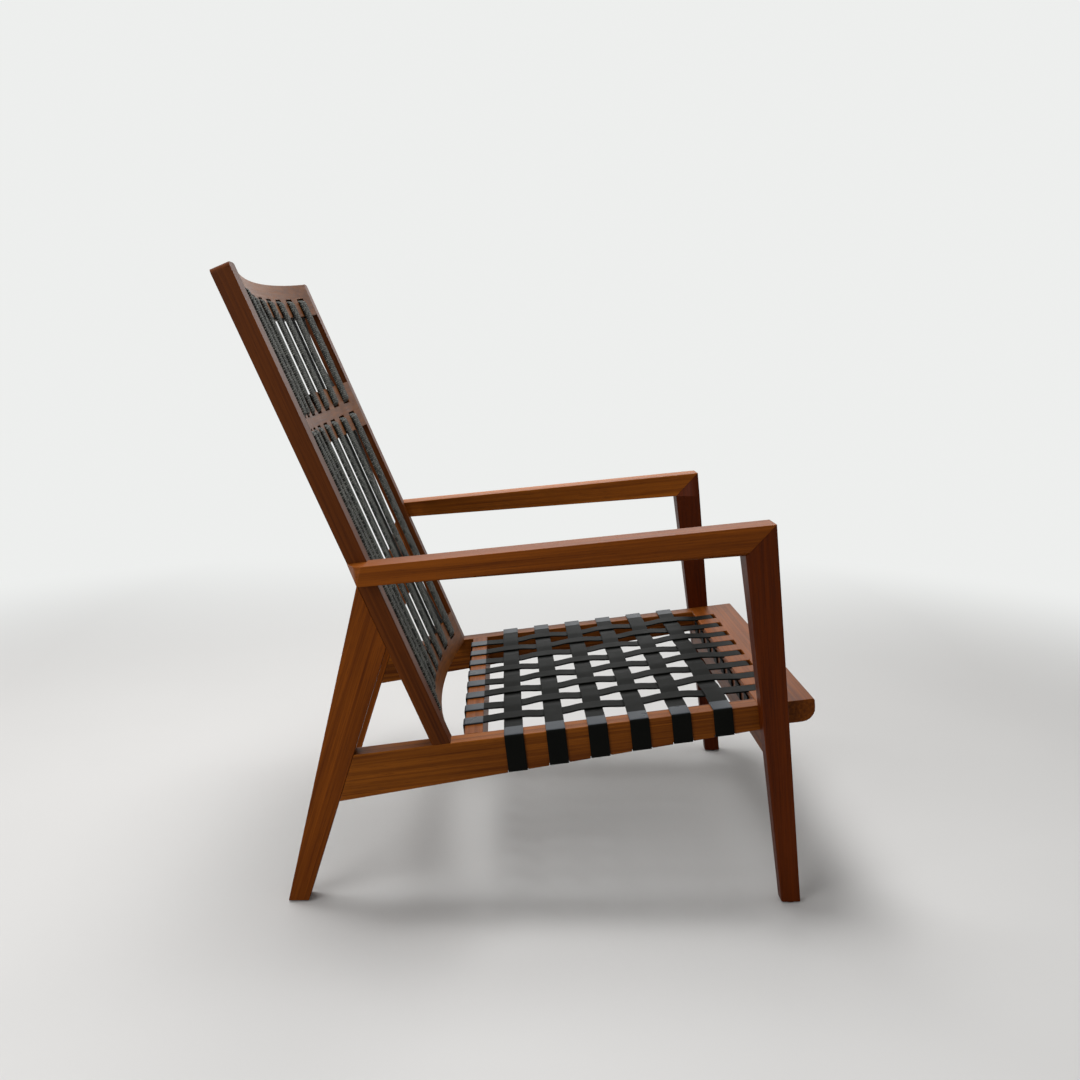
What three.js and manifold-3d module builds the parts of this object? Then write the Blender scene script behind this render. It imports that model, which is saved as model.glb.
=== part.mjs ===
// A reclined wooden lounge chair with a woven strap seat and braided bands on its back.
// Millimetres, +Z up. The sitter faces +X, so the chair's left side is at +Y.
// The origin is on the floor, under the middle of the chair's outline.
import * as THREE from 'three';
import { mergeVertices } from 'three/addons/utils/BufferGeometryUtils.js';
import Module from 'manifold-3d';

const wasm = await Module();
wasm.setup();

const degree = Math.PI / 180;

// Clearances and cuts
const jointGap = 0.3;
const cutOverrun = 10;

// Widths across the chair
const seatFrameWidth = 591;
const armOverhang = 34.3;
const armWidth = 46.5;
const frontLegFootWidth = 20.5;

// Seat frame, measured along the seat from where a side rail meets the rear leg
const seatPitch = 7;
const seatRearHeight = 225.6;
const sideRailLength = 586.5;
const sideRailThickness = 31;
const sideRailRearDepth = 65.4;
const sideRailFrontDepth = 37.2;
const frontRailReach = 81.5;
const frontRailHeight = 33;
const frontRailEdgeRadius = 3;
const frontRailNoseRadius = 20;
const edgeSteps = 2;
const noseSteps = 5;
const rearRailLead = 18.4;
const rearRailThickness = 27.5;
const rearRailHeight = 50;
const stretcherThickness = 22;
const stretcherHeight = 36.6;

// Back frame, measured along the stile from its front foot on the side rail
const backRecline = 23.2;
const stileReach = 140.1;
const stileLength = 729;
const stileThickness = 31.5;
const stileFootDepth = 25.7;
const stileTopDepth = 28;
const backRailThickness = 20;
const backRailBow = 30;
const bowSteps = 16;
const topRailDrop = 1;
const topRailHeight = 58.5;
const topRailNotch = 32.5;
const middleRailRise = 452.5;
const middleRailHeight = 85.5;
const middleRailUpperNotch = 35.4;
const middleRailLowerNotch = 32.5;
const bottomRailRise = -3;
const bottomRailHeight = 64.5;
const bottomRailNotch = 37;

// Legs and arms, seen from the side
const rearLegRake = 17.4;
const rearLegFootDepth = 29.6;
const rearLegSpliceLength = 98.7;
const armFrontHeight = 565.9;
const armFrontLead = 2;
const armSlope = 5.86;
const armRearDepth = 27.5;
const armRearBevel = 15;
const armRearFootBevel = 6;
const mitreDepth = 44.7;
const mitreRun = 40.7;
const frontLegFootLead = 65;
const frontLegFootDepth = 27.9;

// Seat straps
const strapWidth = 28;
const strapThickness = 2.5;
const strapBendRadius = 0.8;
const bendSteps = 3;
const sharpTurn = 45;
const crossStrapCount = 6;
const crossStrapRearGap = 31.5;
const crossStrapFrontGap = 38.5;
const crossStrapTurnUnder = 20;
const longStrapCount = 8;
const longStrapSideGap = 35.5;
const longStrapRearDrop = 40;
const longStrapTailDrop = 8;
const strapSlotSetback = 30;
const strapSlotLength = 5;
const strapSideClearance = 0.8;
const weaveClearance = 0.4;

// Back bands and the pins that they loop round
const bandCount = 8;
const bandWidth = 28;
const bandThickness = 4.5;
const bandSideGap = 34.5;
const bandProud = 4;
const bandSideClearance = 1;
const bandEndClearance = 3;
const loopSteps = 6;
const pinRadius = 3;
const pinSeat = 4;
const pinSides = 8;

// Hidden fasteners and the glides under the feet
const boltRadius = 4;
const boltLength = 46;
const boltDepthInLeg = 16;
const boltSetback = 20;
const dowelLength = 44;
const fastenerSides = 12;
const glideRadius = 8;
const glideHeight = 2;
const glideSides = 20;

// Finishes
const finish = (color, roughness, metalness) => (
  () => new THREE.MeshStandardMaterial({ color, roughness, metalness }));
const walnut = finish(0x6b3a1e, 0.5, 0);
const strapLeather = finish(0x1b1c1a, 0.45, 0);
const braid = finish(0x3a3b39, 0.85, 0);
const steel = finish(0x9a9a98, 0.35, 1);
const nylon = finish(0x201f1d, 0.7, 0);

// Points and directions in an outline
const at = (x, y) => new THREE.Vector2(x, y);
const heading = (angle) => at(Math.cos(angle * degree), Math.sin(angle * degree));
const leftOf = (direction) => at(-direction.y, direction.x);
const along = (start, direction, distance) => start.clone().addScaledVector(direction, distance);
const towards = (start, end) => end.clone().sub(start).normalize();

// Where the line from one point crosses the line from another
function meet(startA, directionA, startB, directionB) {
  const between = startB.clone().sub(startA);
  return along(startA, directionA, between.cross(directionB) / directionA.cross(directionB));
}

// Points of a round corner between two headings
function arc(centre, radius, fromAngle, toAngle, steps) {
  const points = [];
  for (let step = 0; step <= steps; step += 1) {
    points.push(along(centre, heading(fromAngle + ((toAngle - fromAngle) * step) / steps), radius));
  }
  return points;
}

// Solids from outlines: seen from the side, from the front and from above
const sideView = new THREE.Matrix4().makeBasis(
  new THREE.Vector3(1, 0, 0), new THREE.Vector3(0, 0, 1), new THREE.Vector3(0, -1, 0));
const frontView = new THREE.Matrix4().makeBasis(
  new THREE.Vector3(0, 1, 0), new THREE.Vector3(0, 0, 1), new THREE.Vector3(1, 0, 0));

function extruded(outline, depth) {
  return new THREE.ExtrudeGeometry(new THREE.Shape(outline), { depth, bevelEnabled: false });
}

function sideSlab(outline, fromY, toY) {
  return extruded(outline, toY - fromY).applyMatrix4(sideView).translate(0, toY, 0);
}

function frontSlab(outline, fromX, toX) {
  return extruded(outline, toX - fromX).applyMatrix4(frontView).translate(fromX, 0, 0);
}

function planSlab(outline, fromZ, toZ) {
  return extruded(outline, toZ - fromZ).translate(0, 0, fromZ);
}

// A cylinder across the chair, between two distances from its middle
function crossRod(radius, centre, fromY, toY, sides) {
  const rod = new THREE.CylinderGeometry(radius, radius, toY - fromY, sides);
  return rod.translate(centre.x, (fromY + toY) / 2, centre.y);
}

// The two ends of a span on one side of the chair, lowest first
const spanOn = (side, inner, outer) => (side > 0 ? [inner, outer] : [-outer, -inner]);

// Cuts and joins
function solid(geometry) {
  const bare = geometry.clone();
  bare.deleteAttribute('normal');
  bare.deleteAttribute('uv');
  const merged = mergeVertices(bare);
  return new wasm.Manifold(new wasm.Mesh({
    numProp: 3,
    vertProperties: new Float32Array(merged.attributes.position.array),
    triVerts: new Uint32Array(merged.index.array),
  }));
}

function geometryOf(manifold) {
  const { vertProperties, triVerts } = manifold.getMesh();
  const geometry = new THREE.BufferGeometry();
  geometry.setAttribute('position', new THREE.BufferAttribute(new Float32Array(vertProperties), 3));
  geometry.setIndex(new THREE.BufferAttribute(new Uint32Array(triVerts), 1));
  return geometry;
}

function cutFrom(geometry, cutters) {
  return geometryOf(cutters.reduce((rest, cutter) => rest.subtract(solid(cutter)), solid(geometry)));
}

// Evenly spaced places between two limits, the first and last included
function evenly(first, last, count) {
  return Array.from({ length: count }, (_, index) => first + ((last - first) * index) / (count - 1));
}

// The side outline's lines: the seat, the stile, the rear leg and the arm
const seatDatum = at(0, seatRearHeight);
const seatForward = heading(seatPitch);
const seatUp = leftOf(seatForward);
const onSeat = (reach, rise) => along(along(seatDatum, seatForward, reach), seatUp, rise);

const stileForward = heading(backRecline);
const stileUp = leftOf(stileForward);
const stileFoot = onSeat(stileReach, 0);
const onStile = (rise, depth) => along(along(stileFoot, stileUp, rise), stileForward, -depth);
const stileBackUp = towards(onStile(0, stileFootDepth), onStile(stileLength, stileTopDepth));

const legUp = leftOf(heading(-rearLegRake));
const frontLegFootReach = sideRailLength + frontLegFootLead;
const armForward = heading(armSlope);
const armDown = leftOf(armForward).negate();
const armTopFront = at(sideRailLength + armFrontLead, armFrontHeight);
const armInnerCorner = along(along(armTopFront, heading(0), -mitreRun), heading(90), -mitreDepth);
const armTopRear = meet(armTopFront, armForward, onStile(0, stileFootDepth), stileBackUp);
const armBottomRear = along(armTopRear, armDown, armRearDepth);

// Distances from the chair's middle plane
const frameOuter = seatFrameWidth / 2;
const railInner = frameOuter - sideRailThickness;
const stileInner = frameOuter - stileThickness;
const armOuter = frameOuter + armOverhang;
const armInner = armOuter - armWidth;
const legInner = frameOuter + jointGap;
const frontRailFront = sideRailLength + frontRailReach;
const footLevel = glideHeight + jointGap;
const levelForward = heading(0);

// Levels on the seat: a strap lies on the rails, or flush in a recess
const strapLevel = jointGap + strapThickness / 2;
const strapRecess = strapThickness + jointGap;
const stretcherTop = -frontRailHeight - strapThickness - 3 * jointGap;

// Depth of a side rail, which tapers from its rear end to its front end
function railDepthAt(reach) {
  return sideRailRearDepth + ((sideRailFrontDepth - sideRailRearDepth) * reach) / sideRailLength;
}

// Places of the bolts: two on the seat frame, and one where the arm crosses the stile
const legBoltOnSeat = at(sideRailLength + boltSetback, -frontRailHeight / 2);
const stretcherMiddle = at(
  sideRailLength + jointGap + stretcherThickness / 2, stretcherTop - stretcherHeight / 2);
const armMiddle = meet(along(armTopRear, armDown, armRearDepth / 2), armForward, stileFoot, stileUp);
const boltPlaces = {
  legBolt: onSeat(legBoltOnSeat.x, legBoltOnSeat.y),
  stretcherBolt: onSeat(stretcherMiddle.x, stretcherMiddle.y),
  armBolt: along(armMiddle, armForward, -stileFootDepth / 2),
};
const dowelCentre = meet(onSeat(0, -sideRailRearDepth / 2), seatForward, seatDatum, legUp);

// Spans of the bolts: out into the leg or arm, and in as far as their length goes
const legBoltSpan = [legInner + boltDepthInLeg - boltLength, legInner + boltDepthInLeg];
const armBoltSpan = [legInner - boltLength / 2, legInner + boltLength / 2];

// Holes are the fastener's own shape, larger by the joint gap all round
function boltHole(side, place, [inner, outer]) {
  const [fromY, toY] = spanOn(side, inner - jointGap, outer + jointGap);
  return crossRod(boltRadius + jointGap, place, fromY, toY, fastenerSides);
}

function dowelRod(side, radius, length) {
  const rod = new THREE.CylinderGeometry(radius, radius, length, fastenerSides);
  rod.rotateZ(-Math.PI / 2).rotateY(-seatPitch * degree);
  return rod.translate(dowelCentre.x, side * (frameOuter - sideRailThickness / 2), dowelCentre.y);
}

const dowelHole = (side) => dowelRod(side, boltRadius + jointGap, dowelLength + 2 * jointGap);

// Strap places across and along the seat
const rearRailSetback = stileReach + rearRailLead;
const rearRailFront = rearRailSetback + rearRailThickness;
const crossStrapFirst = rearRailFront + crossStrapRearGap + strapWidth / 2;
const crossStrapLast = sideRailLength - crossStrapFrontGap - strapWidth / 2;
const crossStrapPlaces = evenly(crossStrapFirst, crossStrapLast, crossStrapCount);
const longStrapLast = railInner - longStrapSideGap - strapWidth / 2;
const longStrapPlaces = evenly(longStrapLast, -longStrapLast, longStrapCount);
const weaveRise = (strapThickness + weaveClearance) / 2;
const slotRear = sideRailLength + strapSlotSetback;

// Side rail, tapered towards the front, with a recess below for the end of each cross strap
function sideRail(side) {
  const bottomForward = towards(onSeat(0, -sideRailRearDepth), onSeat(sideRailLength, -sideRailFrontDepth));
  const rearEnd = along(seatDatum, leftOf(legUp), -jointGap);
  const frontEnd = onSeat(sideRailLength - jointGap, 0);
  const outline = [
    meet(rearEnd, legUp, seatDatum, seatForward),
    frontEnd,
    meet(frontEnd, seatUp, onSeat(0, -sideRailRearDepth), bottomForward),
    meet(rearEnd, legUp, onSeat(0, -sideRailRearDepth), bottomForward),
  ];
  const recessSpan = spanOn(
    side, frameOuter - crossStrapTurnUnder - strapSideClearance, frameOuter + cutOverrun);
  const recesses = crossStrapPlaces.map((place) => {
    const rear = place - strapWidth / 2 - strapSideClearance;
    const front = place + strapWidth / 2 + strapSideClearance;
    const floor = strapRecess - railDepthAt(place);
    const recess = [
      onSeat(rear, floor),
      onSeat(front, floor),
      onSeat(front, floor - cutOverrun),
      onSeat(rear, floor - cutOverrun),
    ];
    return sideSlab(recess, ...recessSpan);
  });
  const rail = sideSlab(outline, ...spanOn(side, railInner, frameOuter));
  return cutFrom(rail, [dowelHole(side), ...recesses]);
}

// Back stile, standing on the side rail
function backStile(side) {
  const seatTop = onSeat(0, jointGap);
  const outline = [
    meet(stileFoot, stileUp, seatTop, seatForward),
    onStile(stileLength, 0),
    onStile(stileLength, stileTopDepth),
    meet(onStile(0, stileFootDepth), stileBackUp, seatTop, seatForward),
  ];
  const stile = sideSlab(outline, ...spanOn(side, stileInner, frameOuter));
  return cutFrom(stile, [boltHole(side, boltPlaces.armBolt, armBoltSpan)]);
}

// Rear leg, spliced to the back of the stile above its knee
function rearLeg(side) {
  const spliceStart = along(onStile(0, stileFootDepth), leftOf(stileBackUp), jointGap);
  const knee = meet(seatDatum, legUp, spliceStart, stileBackUp);
  const footFront = meet(seatDatum, legUp, at(0, footLevel), levelForward);
  const outline = [
    knee,
    along(knee, stileBackUp, rearLegSpliceLength),
    along(footFront, levelForward, -rearLegFootDepth),
    footFront,
  ];
  const leg = sideSlab(outline, ...spanOn(side, stileInner, frameOuter));
  return cutFrom(leg, [dowelHole(side)]);
}

// Wedge that bevels an arm's rear end outwards from the stile, along a line seen from the side
function rearBevel(side, setback, up) {
  const outline = [
    at(0, side * legInner),
    at(setback, side * armOuter),
    at(setback, side * (armOuter + cutOverrun)),
    at(-cutOverrun, side * (armOuter + cutOverrun)),
    at(-cutOverrun, side * legInner),
  ];
  const wedge = planSlab(outline, -armRearDepth - cutOverrun, cutOverrun);
  return wedge.rotateY(Math.PI / 2 - up.angle()).translate(armTopRear.x, 0, armTopRear.y);
}

// Arm, notched round the stile, cut flush with its back, bevelled there and mitred to the leg
function arm(side) {
  const mitreUp = towards(armInnerCorner, armTopFront);
  const mitreStart = along(armInnerCorner, leftOf(mitreUp), jointGap);
  const bottomForward = towards(armBottomRear, armInnerCorner);
  const outline = [
    armTopRear,
    meet(armTopRear, armForward, mitreStart, mitreUp),
    meet(armBottomRear, bottomForward, mitreStart, mitreUp),
    meet(armBottomRear, bottomForward, armTopRear, stileBackUp),
  ];

  const stileFront = along(stileFoot, stileForward, jointGap);
  const behindStile = [
    stileFront,
    along(stileFront, stileUp, stileLength),
    along(along(stileFront, stileUp, stileLength), levelForward, -sideRailLength),
    along(stileFront, levelForward, -sideRailLength),
  ];
  const notch = sideSlab(behindStile, ...spanOn(side, armInner - cutOverrun, legInner));

  const blank = sideSlab(outline, ...spanOn(side, armInner, armOuter));
  return cutFrom(blank, [
    notch,
    rearBevel(side, armRearBevel, leftOf(armForward)),
    rearBevel(side, armRearFootBevel, stileBackUp),
    boltHole(side, boltPlaces.armBolt, armBoltSpan),
  ]);
}

// Front leg, tapered both ways and leaning in over the seat rail to meet the arm
function frontLeg(side) {
  const rearDown = towards(armInnerCorner, at(frontLegFootReach - frontLegFootDepth, 0));
  const frontDown = towards(armTopFront, at(frontLegFootReach, 0));
  const outline = [
    armTopFront,
    armInnerCorner,
    meet(armInnerCorner, rearDown, at(0, footLevel), levelForward),
    meet(armTopFront, frontDown, at(0, footLevel), levelForward),
  ];
  const shoulder = onSeat(frontRailFront, 0).y;
  const frontOutline = [
    at(side * armOuter, armFrontHeight),
    at(side * armInner, armFrontHeight),
    at(side * armInner, armFrontHeight - mitreDepth),
    at(side * legInner, shoulder),
    at(side * legInner, 0),
    at(side * (legInner + frontLegFootWidth), 0),
  ];
  const fromTheSide = solid(sideSlab(outline, ...spanOn(side, armInner, armOuter)));
  const fromTheFront = solid(frontSlab(frontOutline, 0, frontLegFootReach + cutOverrun));
  const leg = geometryOf(fromTheSide.intersect(fromTheFront));
  return cutFrom(leg, [
    boltHole(side, boltPlaces.legBolt, legBoltSpan),
    boltHole(side, boltPlaces.stretcherBolt, legBoltSpan),
  ]);
}

// Front rail with its rounded nose, and a recess and slot for each long strap
function seatFrontRail() {
  const edgeCentre = at(frontRailFront - frontRailEdgeRadius, -frontRailEdgeRadius);
  const noseCentre = at(frontRailFront - frontRailNoseRadius, frontRailNoseRadius - frontRailHeight);
  const outline = [
    at(sideRailLength, -frontRailHeight),
    at(sideRailLength, 0),
    ...arc(edgeCentre, frontRailEdgeRadius, 90, 0, edgeSteps),
    ...arc(noseCentre, frontRailNoseRadius, 0, -90, noseSteps),
  ];
  const cutters = [-1, 1].map((side) => boltHole(side, legBoltOnSeat, legBoltSpan));
  for (const place of longStrapPlaces) {
    const fromY = place - strapWidth / 2 - strapSideClearance;
    const toY = place + strapWidth / 2 + strapSideClearance;
    const slotFront = slotRear + strapSlotLength;
    const recess = [
      at(sideRailLength - cutOverrun, -strapRecess),
      at(slotFront, -strapRecess),
      at(slotFront, cutOverrun),
      at(sideRailLength - cutOverrun, cutOverrun),
    ];
    const slot = [
      at(slotRear, -frontRailHeight - cutOverrun),
      at(slotFront, -frontRailHeight - cutOverrun),
      at(slotFront, cutOverrun),
      at(slotRear, cutOverrun),
    ];
    cutters.push(sideSlab(recess, fromY, toY), sideSlab(slot, fromY, toY));
  }
  return cutFrom(sideSlab(outline, -frameOuter, frameOuter), cutters);
}

// Rear rail between the side rails, under the back ends of the long straps
function seatRearRail() {
  const halfLength = railInner - jointGap;
  const rail = new THREE.BoxGeometry(rearRailThickness, 2 * halfLength, rearRailHeight);
  return rail.translate(rearRailSetback + rearRailThickness / 2, 0, -rearRailHeight / 2);
}

// Stretcher between the front legs, just under the straps that turn below the front rail
function frontStretcher() {
  const stretcher = new THREE.BoxGeometry(stretcherThickness, seatFrameWidth, stretcherHeight);
  stretcher.translate(stretcherMiddle.x, 0, stretcherMiddle.y);
  const holes = [-1, 1].map((side) => boltHole(side, stretcherMiddle, legBoltSpan));
  return cutFrom(stretcher, holes);
}

// Outline of a band of even thickness along a route, with its sharp corners rounded
function bandOutline(corners, thickness) {
  const bendRadius = strapBendRadius + strapThickness / 2;
  const route = [corners[0]];
  for (let index = 1; index < corners.length - 1; index += 1) {
    const before = towards(corners[index - 1], corners[index]);
    const after = towards(corners[index], corners[index + 1]);
    const turn = Math.atan2(before.cross(after), before.dot(after));
    if (Math.abs(turn) < sharpTurn * degree) {
      route.push(corners[index]);
    } else {
      const inward = leftOf(before).multiplyScalar(Math.sign(turn));
      const start = along(corners[index], before, -bendRadius * Math.tan(Math.abs(turn) / 2));
      const centre = along(start, inward, bendRadius);
      const fromAngle = Math.atan2(-inward.y, -inward.x) / degree;
      route.push(...arc(centre, bendRadius, fromAngle, fromAngle + turn / degree, bendSteps));
    }
  }
  route.push(corners.at(-1));

  const edge = (half) => route.map((point, index) => {
    const current = Math.max(index, 1);
    const before = towards(route[current - 1], route[current]);
    const next = Math.min(index + 1, route.length - 1);
    const after = towards(route[next - 1], route[next]);
    const across = leftOf(before.clone().add(after).normalize());
    return along(point, across, half / across.dot(leftOf(before)));
  });
  return [...edge(thickness / 2), ...edge(-thickness / 2).reverse()];
}

// The weave: a strap rises over one crossing strap and dips under the next
function weaveCorners(places, halfWidth, startsOver) {
  return places.flatMap((place, index) => {
    const over = index % 2 === (startsOver ? 0 : 1);
    const level = strapLevel + (over ? weaveRise : -weaveRise);
    return [at(place - halfWidth, level), at(place + halfWidth, level)];
  });
}

// Strap across the seat, turned down over both side rails and into the recesses below
function crossStrap(index) {
  const middle = crossStrapPlaces[index];
  const outside = frameOuter + strapLevel;
  const below = strapRecess - railDepthAt(middle) - strapLevel;
  const crossings = [...longStrapPlaces].reverse();
  const rearmostFromRight = (longStrapCount + index + 1) % 2 === 0;
  const corners = [
    at(-frameOuter + crossStrapTurnUnder, below),
    at(-outside, below),
    at(-outside, strapLevel),
    at(-railInner, strapLevel),
    ...weaveCorners(crossings, strapWidth / 2, rearmostFromRight),
    at(railInner, strapLevel),
    at(outside, strapLevel),
    at(outside, below),
    at(frameOuter - crossStrapTurnUnder, below),
  ];
  const outline = bandOutline(corners, strapThickness);
  return frontSlab(outline, middle - strapWidth / 2, middle + strapWidth / 2);
}

// Strap from the rear rail to the front rail, where it dives through its slot and turns back
function longStrap(index) {
  const diveReach = slotRear + strapLevel;
  const tailReach = sideRailLength - strapLevel;
  const below = -frontRailHeight - strapLevel;
  const recessLevel = strapLevel - strapRecess;
  const rearmostOver = index % 2 === 1;
  const corners = [
    at(rearRailSetback - strapLevel, -longStrapRearDrop),
    at(rearRailSetback - strapLevel, strapLevel),
    at(rearRailFront, strapLevel),
    ...weaveCorners(crossStrapPlaces, strapWidth / 2, rearmostOver),
    at(sideRailLength, recessLevel),
    at(diveReach, recessLevel),
    at(diveReach, below),
    at(tailReach, below),
    at(tailReach, recessLevel - longStrapTailDrop),
  ];
  const middle = longStrapPlaces[index];
  const outline = bandOutline(corners, strapThickness);
  return sideSlab(outline, middle - strapWidth / 2, middle + strapWidth / 2);
}

// The bowed face of the back rails, and how it stands at each band
const bowHalf = stileInner - jointGap;
const bowDepth = (place) => -backRailBow * (1 - (place / bowHalf) ** 2);
const bowTurn = (place) => -Math.atan((2 * backRailBow * place) / bowHalf ** 2);
const bandLast = stileInner - bandSideGap - bandWidth / 2;
const bandPlaces = evenly(bandLast, -bandLast, bandCount);

// A band's loop is centred on its pin, a little behind the rail's face
const loopRadius = pinRadius + jointGap + bandThickness / 2;
const pinDepth = bandProud - loopRadius - bandThickness / 2;
const pinInset = loopRadius + bandThickness / 2 + bandEndClearance;
const topRailFoot = stileLength - topRailDrop - topRailHeight;
const pinRises = {
  top: topRailFoot + topRailNotch - pinInset,
  middleUpper: middleRailRise + middleRailHeight - middleRailUpperNotch + pinInset,
  middleLower: middleRailRise + middleRailLowerNotch - pinInset,
  bottom: bottomRailRise + bottomRailHeight - bottomRailNotch + pinInset,
};

// Bowed back rail with a row of notches, each with a pin set across it
function bowedRail(foot, height, notches) {
  const places = evenly(-bowHalf, bowHalf, bowSteps + 1);
  const outline = [
    ...places.map((place) => at(bowDepth(place), place)),
    ...places.reverse().map((place) => at(bowDepth(place) - backRailThickness, place)),
  ];
  const halfNotch = bandWidth / 2 + bandSideClearance;
  let rail = solid(planSlab(outline, foot, foot + height));
  for (const { from, to, pinRise } of notches) {
    for (const place of bandPlaces) {
      const notch = new THREE.BoxGeometry(
        2 * (backRailThickness + cutOverrun), 2 * halfNotch, to - from);
      notch.translate(0, 0, (from + to) / 2);
      notch.rotateZ(bowTurn(place)).translate(bowDepth(place), place, 0);
      const pin = crossRod(
        pinRadius, at(pinDepth, pinRise), -halfNotch - pinSeat, halfNotch + pinSeat, pinSides);
      pin.rotateZ(bowTurn(place)).translate(bowDepth(place), place, 0);
      rail = rail.subtract(solid(notch)).add(solid(pin));
    }
  }
  return geometryOf(rail);
}

// Notches that open to a rail's upper or lower edge
const notchAbove = (edge, depth, pinRise) => ({ from: edge - depth, to: edge + cutOverrun, pinRise });
const notchBelow = (edge, depth, pinRise) => ({ from: edge - cutOverrun, to: edge + depth, pinRise });

function backTopRail() {
  return bowedRail(topRailFoot, topRailHeight, [notchBelow(topRailFoot, topRailNotch, pinRises.top)]);
}

function backMiddleRail() {
  return bowedRail(middleRailRise, middleRailHeight, [
    notchAbove(middleRailRise + middleRailHeight, middleRailUpperNotch, pinRises.middleUpper),
    notchBelow(middleRailRise, middleRailLowerNotch, pinRises.middleLower),
  ]);
}

function backBottomRail() {
  return bowedRail(bottomRailRise, bottomRailHeight, [
    notchAbove(bottomRailRise + bottomRailHeight, bottomRailNotch, pinRises.bottom),
  ]);
}

// Braided band: a closed loop round two pins, whose ends meet behind
function backBand(lowerPin, upperPin, seam) {
  const back = pinDepth - loopRadius;
  const route = [
    at(back, seam),
    ...arc(at(pinDepth, lowerPin), loopRadius, 180, 360, loopSteps),
    ...arc(at(pinDepth, upperPin), loopRadius, 0, 180, loopSteps),
    at(back, seam + jointGap),
  ];
  return sideSlab(bandOutline(route, bandThickness), -bandWidth / 2, bandWidth / 2);
}

// Nylon glide under a foot
function glide(centreX, centreY) {
  const disc = new THREE.CylinderGeometry(glideRadius, glideRadius, glideHeight, glideSides);
  return disc.rotateX(Math.PI / 2).translate(centreX, centreY, glideHeight / 2);
}

// Assembly: the side pieces stand in the chair's frame, the seat and back have their own
const chair = new THREE.Group();
const seat = new THREE.Group();
const back = new THREE.Group();
seat.position.set(seatDatum.x, 0, seatDatum.y);
seat.rotation.y = -seatPitch * degree;
back.position.set(stileFoot.x, 0, stileFoot.y);
back.rotation.y = -backRecline * degree;
chair.add(seat, back);

function piece(parent, name, geometry, material) {
  const mesh = new THREE.Mesh(geometry, material);
  mesh.name = name;
  parent.add(mesh);
  return mesh;
}

for (const [side, hand] of [[-1, 'right'], [1, 'left']]) {
  piece(chair, `side_rail_${hand}`, sideRail(side), walnut());
  piece(chair, `back_stile_${hand}`, backStile(side), walnut());
  piece(chair, `rear_leg_${hand}`, rearLeg(side), walnut());
  piece(chair, `front_leg_${hand}`, frontLeg(side), walnut());
  piece(chair, `arm_${hand}`, arm(side), walnut());

  const bolts = {
    leg_bolt: [boltPlaces.legBolt, legBoltSpan],
    stretcher_bolt: [boltPlaces.stretcherBolt, legBoltSpan],
    arm_bolt: [boltPlaces.armBolt, armBoltSpan],
  };
  for (const [name, [place, span]] of Object.entries(bolts)) {
    const bolt = crossRod(boltRadius, place, ...spanOn(side, ...span), fastenerSides);
    piece(chair, `${name}_${hand}`, bolt, steel());
  }
  piece(chair, `rail_dowel_${hand}`, dowelRod(side, boltRadius, dowelLength), walnut());

  const rearFoot = meet(seatDatum, legUp, at(0, footLevel), levelForward).x - rearLegFootDepth / 2;
  const frontFoot = frontLegFootReach - frontLegFootDepth / 2;
  const rearFootPlace = side * (frameOuter - stileThickness / 2);
  const frontFootPlace = side * (legInner + frontLegFootWidth / 2);
  piece(chair, `rear_glide_${hand}`, glide(rearFoot, rearFootPlace), nylon());
  piece(chair, `front_glide_${hand}`, glide(frontFoot, frontFootPlace), nylon());
}

piece(seat, 'seat_front_rail', seatFrontRail(), walnut());
piece(seat, 'seat_rear_rail', seatRearRail(), walnut());
piece(seat, 'front_stretcher', frontStretcher(), walnut());
for (let index = 0; index < crossStrapCount; index += 1) {
  piece(seat, `cross_strap_${index + 1}`, crossStrap(index), strapLeather());
}
for (let index = 0; index < longStrapCount; index += 1) {
  piece(seat, `long_strap_${index + 1}`, longStrap(index), strapLeather());
}

piece(back, 'back_top_rail', backTopRail(), walnut());
piece(back, 'back_middle_rail', backMiddleRail(), walnut());
piece(back, 'back_bottom_rail', backBottomRail(), walnut());
const bandRows = {
  upper: [pinRises.middleUpper, pinRises.top, middleRailRise + middleRailHeight],
  lower: [pinRises.bottom, pinRises.middleLower, bottomRailRise + bottomRailHeight],
};
for (const [row, rises] of Object.entries(bandRows)) {
  bandPlaces.forEach((place, index) => {
    const band = piece(back, `back_band_${row}_${index + 1}`, backBand(...rises), braid());
    band.position.set(bowDepth(place), place, 0);
    band.rotation.z = bowTurn(place);
  });
}

// The origin is under the middle of the chair's box
const bounds = new THREE.Box3().setFromObject(chair, true);
chair.position.x = -(bounds.min.x + bounds.max.x) / 2;

export default chair;
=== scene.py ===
"""A reclined wooden lounge chair with a seat of woven leather straps and a back of braided bands.

Metres, +Z up. The sitter faces +X, so the chair's left side is at +Y and its right side at -Y.
"""

import math

import bmesh
import bpy
from bpy.props import FloatProperty, FloatVectorProperty, IntProperty, PointerProperty
from mathutils import Matrix, Vector
from mathutils.bvhtree import BVHTree


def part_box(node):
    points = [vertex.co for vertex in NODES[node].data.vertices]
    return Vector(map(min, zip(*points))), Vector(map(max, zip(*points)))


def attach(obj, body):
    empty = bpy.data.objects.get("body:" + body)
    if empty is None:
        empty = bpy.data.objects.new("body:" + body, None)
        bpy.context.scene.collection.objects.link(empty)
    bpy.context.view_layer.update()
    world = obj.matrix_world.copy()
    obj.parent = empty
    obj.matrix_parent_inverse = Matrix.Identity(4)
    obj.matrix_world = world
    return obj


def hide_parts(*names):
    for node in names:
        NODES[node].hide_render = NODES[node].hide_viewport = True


bl_info = {
    "name": "Strap Seat Lounge Chair",
    "version": (1, 0, 0),
    "blender": (4, 5, 0),
    "location": "View3D > Sidebar > Chair",
    "description": "Eased walnut frame, woven leather seat, braided back bands and a plain studio",
    "category": "Add Mesh",
}

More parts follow.
